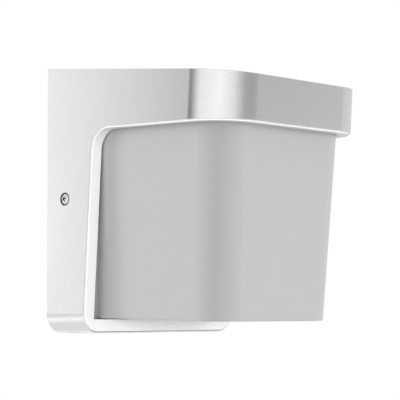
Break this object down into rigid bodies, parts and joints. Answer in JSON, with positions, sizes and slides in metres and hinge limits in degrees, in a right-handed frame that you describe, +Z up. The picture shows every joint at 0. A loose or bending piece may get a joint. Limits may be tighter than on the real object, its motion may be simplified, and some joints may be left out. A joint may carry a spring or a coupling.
{
  "type": "outdoor wall lantern",
  "caption": "Outdoor wall lantern: satin metal cover with a rounded forward hood over an opal diffuser, held by side screws to a wall bracket with a screw-in bulb inside.",
  "frame": {"origin": "on the wall plane, centre of the bracket's two wall slots, mid height of the cover", "axes": "+X to the right seen from the front, +Y into the wall, front faces -Y, +Z up"},
  "size_m": [0.166, 0.1824, 0.2002],
  "materials": {
    "cover_steel": "satin",
    "rim_white": "satin white",
    "opal": "satin opal",
    "foam": "closed-cell foam",
    "seal_rubber": "matte silicone",
    "washer_rubber": "matte",
    "screw_steel": "turned",
    "zinc_steel": "zinc plated",
    "white_plastic": "matte",
    "brass": "plain",
    "holder_plastic": "matte",
    "core_ceramic": "unglazed ceramic",
    "bulb_opal": "frosted",
    "bulb_body": "matte",
    "bulb_metal": "plain",
    "black_insulator": "glossy",
    "wire_brown": "insulated wire",
    "wire_blue": "insulated wire",
    "wire_green": "insulated wire"
  },
  "bodies": {
    "bracket": {"wall_bracket": "zinc_steel", "cable_grommet": "washer_rubber", "terminal_block": "white_plastic", "terminal_screws": "screw_steel", "block_screws": "screw_steel", "cord_clamp": "white_plastic", "clamp_screws": "screw_steel", "earth_screw": "brass", "earth_tag": "zinc_steel", "lamp_arm": "zinc_steel", "arm_screws": "screw_steel", "holder_cap": "holder_plastic", "holder_body": "holder_plastic", "holder_core": "core_ceramic", "holder_shell": "brass", "centre_contact": "brass", "side_contact": "brass", "holder_nipple": "screw_steel", "nipple_nut": "screw_steel", "wire_live": "wire_brown", "wire_neutral": "wire_blue", "wire_earth": "wire_green"},
    "cover": {"housing": "cover_steel", "rim_frame": "rim_white", "wall_seal": "foam", "diffuser": "opal", "diffuser_seal": "seal_rubber", "flange_screws": "screw_steel", "flange_washers": "screw_steel", "left_nut": "screw_steel", "right_nut": "screw_steel"},
    "left_washer": {"left_washer": "washer_rubber"},
    "left_screw": {"left_screw": "screw_steel"},
    "right_washer": {"right_washer": "washer_rubber"},
    "right_screw": {"right_screw": "screw_steel"},
    "bulb_tip": {"bulb_tip": "bulb_metal"},
    "bulb": {"bulb_globe": "bulb_opal", "bulb_collar": "bulb_body", "bulb_cap": "bulb_metal", "bulb_insulator": "black_insulator"}
  },
  "joints": [
    {"name": "cover_slide", "type": "slide", "parent": "bracket", "child": "cover", "axis": [0, -1, 0], "range_m": [0, 0.19]},
    {"name": "left_screw_travel", "type": "slide", "parent": "cover", "child": "left_washer", "axis": [-1, 0, 0], "range_m": [0, 0.0028]},
    {"name": "left_screw_turn", "type": "hinge", "parent": "left_washer", "child": "left_screw", "pos_m": [-0.0835, -0.0197, 0], "axis": [-1, 0, 0], "range_deg": [0, 1480]},
    {"name": "right_screw_travel", "type": "slide", "parent": "cover", "child": "right_washer", "axis": [1, 0, 0], "range_m": [0, 0.0028]},
    {"name": "right_screw_turn", "type": "hinge", "parent": "right_washer", "child": "right_screw", "pos_m": [0.0835, -0.0197, 0], "axis": [1, 0, 0], "range_deg": [0, 1480]},
    {"name": "bulb_travel", "type": "slide", "parent": "bracket", "child": "bulb_tip", "axis": [0, 0, -1], "range_m": [0, 0.022]},
    {"name": "bulb_turn", "type": "hinge", "parent": "bulb_tip", "child": "bulb", "pos_m": [0, -0.106, 0], "axis": [0, 0, -1], "range_deg": [0, 2160]}
  ],
  "couplings": [
    {"joint": "left_screw_turn", "follows": "left_screw_travel", "rad_per_m": 8976},
    {"joint": "right_screw_turn", "follows": "right_screw_travel", "rad_per_m": 8976},
    {"joint": "bulb_travel", "follows": "bulb_turn", "m_per_rad": 0.00057751}
  ]
}
